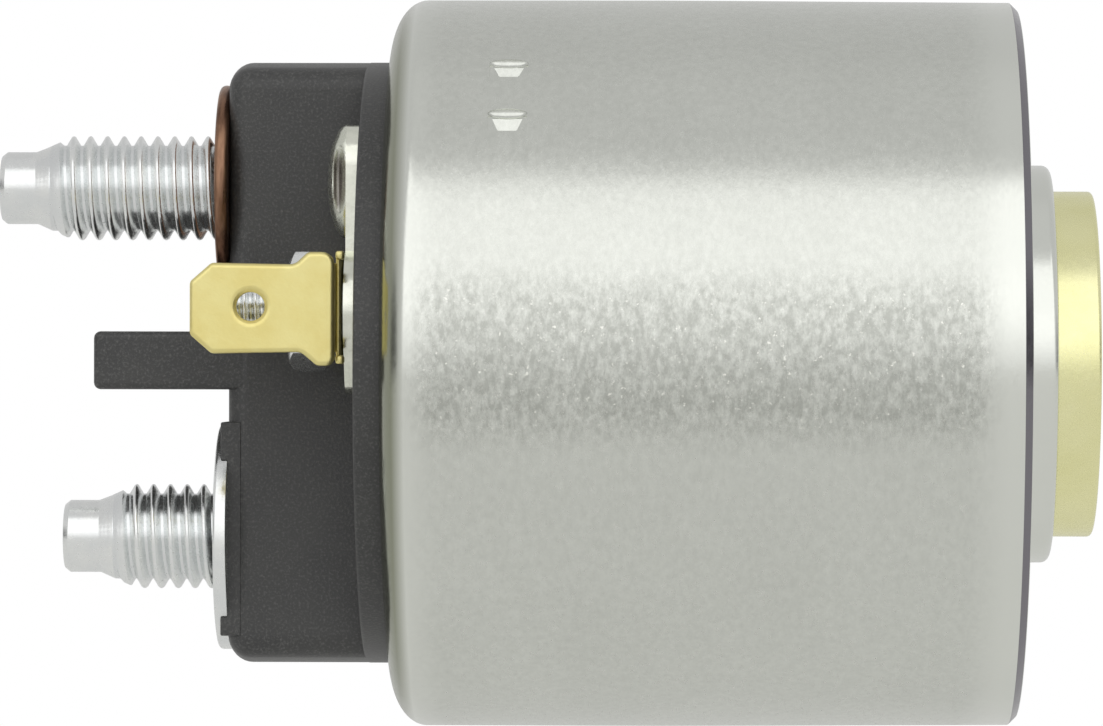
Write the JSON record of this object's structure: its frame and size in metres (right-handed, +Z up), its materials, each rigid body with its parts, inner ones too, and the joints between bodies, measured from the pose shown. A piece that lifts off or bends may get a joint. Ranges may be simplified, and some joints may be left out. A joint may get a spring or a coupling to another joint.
{
  "type": "starter solenoid relay",
  "caption": "Cylindrical starter solenoid relay with a steel case, black terminal cap, threaded cable studs, brass push-on terminal and a sliding plunger that closes a copper contact.",
  "frame": {"origin": "centre of the case's front mounting face, on the solenoid's axis", "axes": "+X along the axis out of the mounting face, towards the guide sleeve; -X towards the cable studs; +Z up, from the motor stud to the battery stud; -Y towards the cap's flat and the push-on terminal"},
  "size_m": [0.081, 0.054, 0.054],
  "materials": {
    "plated_steel": "satin zinc plating",
    "zinc_stud": "bright zinc plating",
    "bare_steel": "machined steel",
    "spring_steel": "drawn spring wire",
    "brass": "stamped brass sheet",
    "copper": "bare copper",
    "magnet_wire": "enamelled copper wire",
    "tinned_metal": "tinned copper and solder",
    "phenolic": "moulded phenolic",
    "nylon": "moulded nylon",
    "insulator": "moulded insulating resin",
    "wrap_paper": "insulating paper band",
    "rubber": "sealing rubber"
  },
  "bodies": {
    "housing": {"case": "plated_steel", "guide_sleeve": "brass", "fixed_core": "bare_steel", "coil_bobbin": "nylon", "pull_in_winding": "magnet_wire", "hold_in_winding": "magnet_wire", "winding_wrap": "wrap_paper", "anti_stick_shim": "brass", "plunger_return_spring": "spring_steel", "contact_return_spring": "spring_steel", "terminal_cap": "phenolic", "cap_gasket": "rubber", "battery_stud": "zinc_stud", "battery_washer": "copper", "motor_stud": "zinc_stud", "motor_washer": "zinc_stud", "control_stud": "zinc_stud", "control_nut": "zinc_stud", "spade_terminal": "brass", "lock_plate": "brass", "lead_strap": "tinned_metal", "solder_joint": "tinned_metal", "control_lead": "magnet_wire", "motor_lead": "magnet_wire", "ground_lead": "magnet_wire"},
    "plunger": {"plunger": "bare_steel", "lever_pin": "bare_steel"},
    "contact_rod": {"push_rod": "bare_steel", "spring_seat": "insulator", "contact_spring": "spring_steel", "bridge_washer": "insulator", "rod_clip": "spring_steel"},
    "moving_contact": {"contact_bridge": "copper", "bridge_bush": "insulator"}
  },
  "joints": [
    {"name": "plunger_slide", "type": "slide", "parent": "housing", "child": "plunger", "axis": [-1, 0, 0], "range_m": [0, 0.01], "stiffness_N_per_m": 1200, "springref_m": -0.012, "deforming": ["plunger_return_spring"]},
    {"name": "rod_slide", "type": "slide", "parent": "housing", "child": "contact_rod", "axis": [-1, 0, 0], "range_m": [0, 0.0032], "stiffness_N_per_m": 900, "springref_m": -0.003, "deforming": ["contact_return_spring", "contact_spring"]},
    {"name": "bridge_slide", "type": "slide", "parent": "housing", "child": "moving_contact", "axis": [-1, 0, 0], "range_m": [0, 0.0024]}
  ],
  "couplings": [
    {"joint": "rod_slide", "follows": "plunger_slide", "ratio": 0.32},
    {"joint": "bridge_slide", "follows": "plunger_slide", "ratio": 0.24}
  ]
}
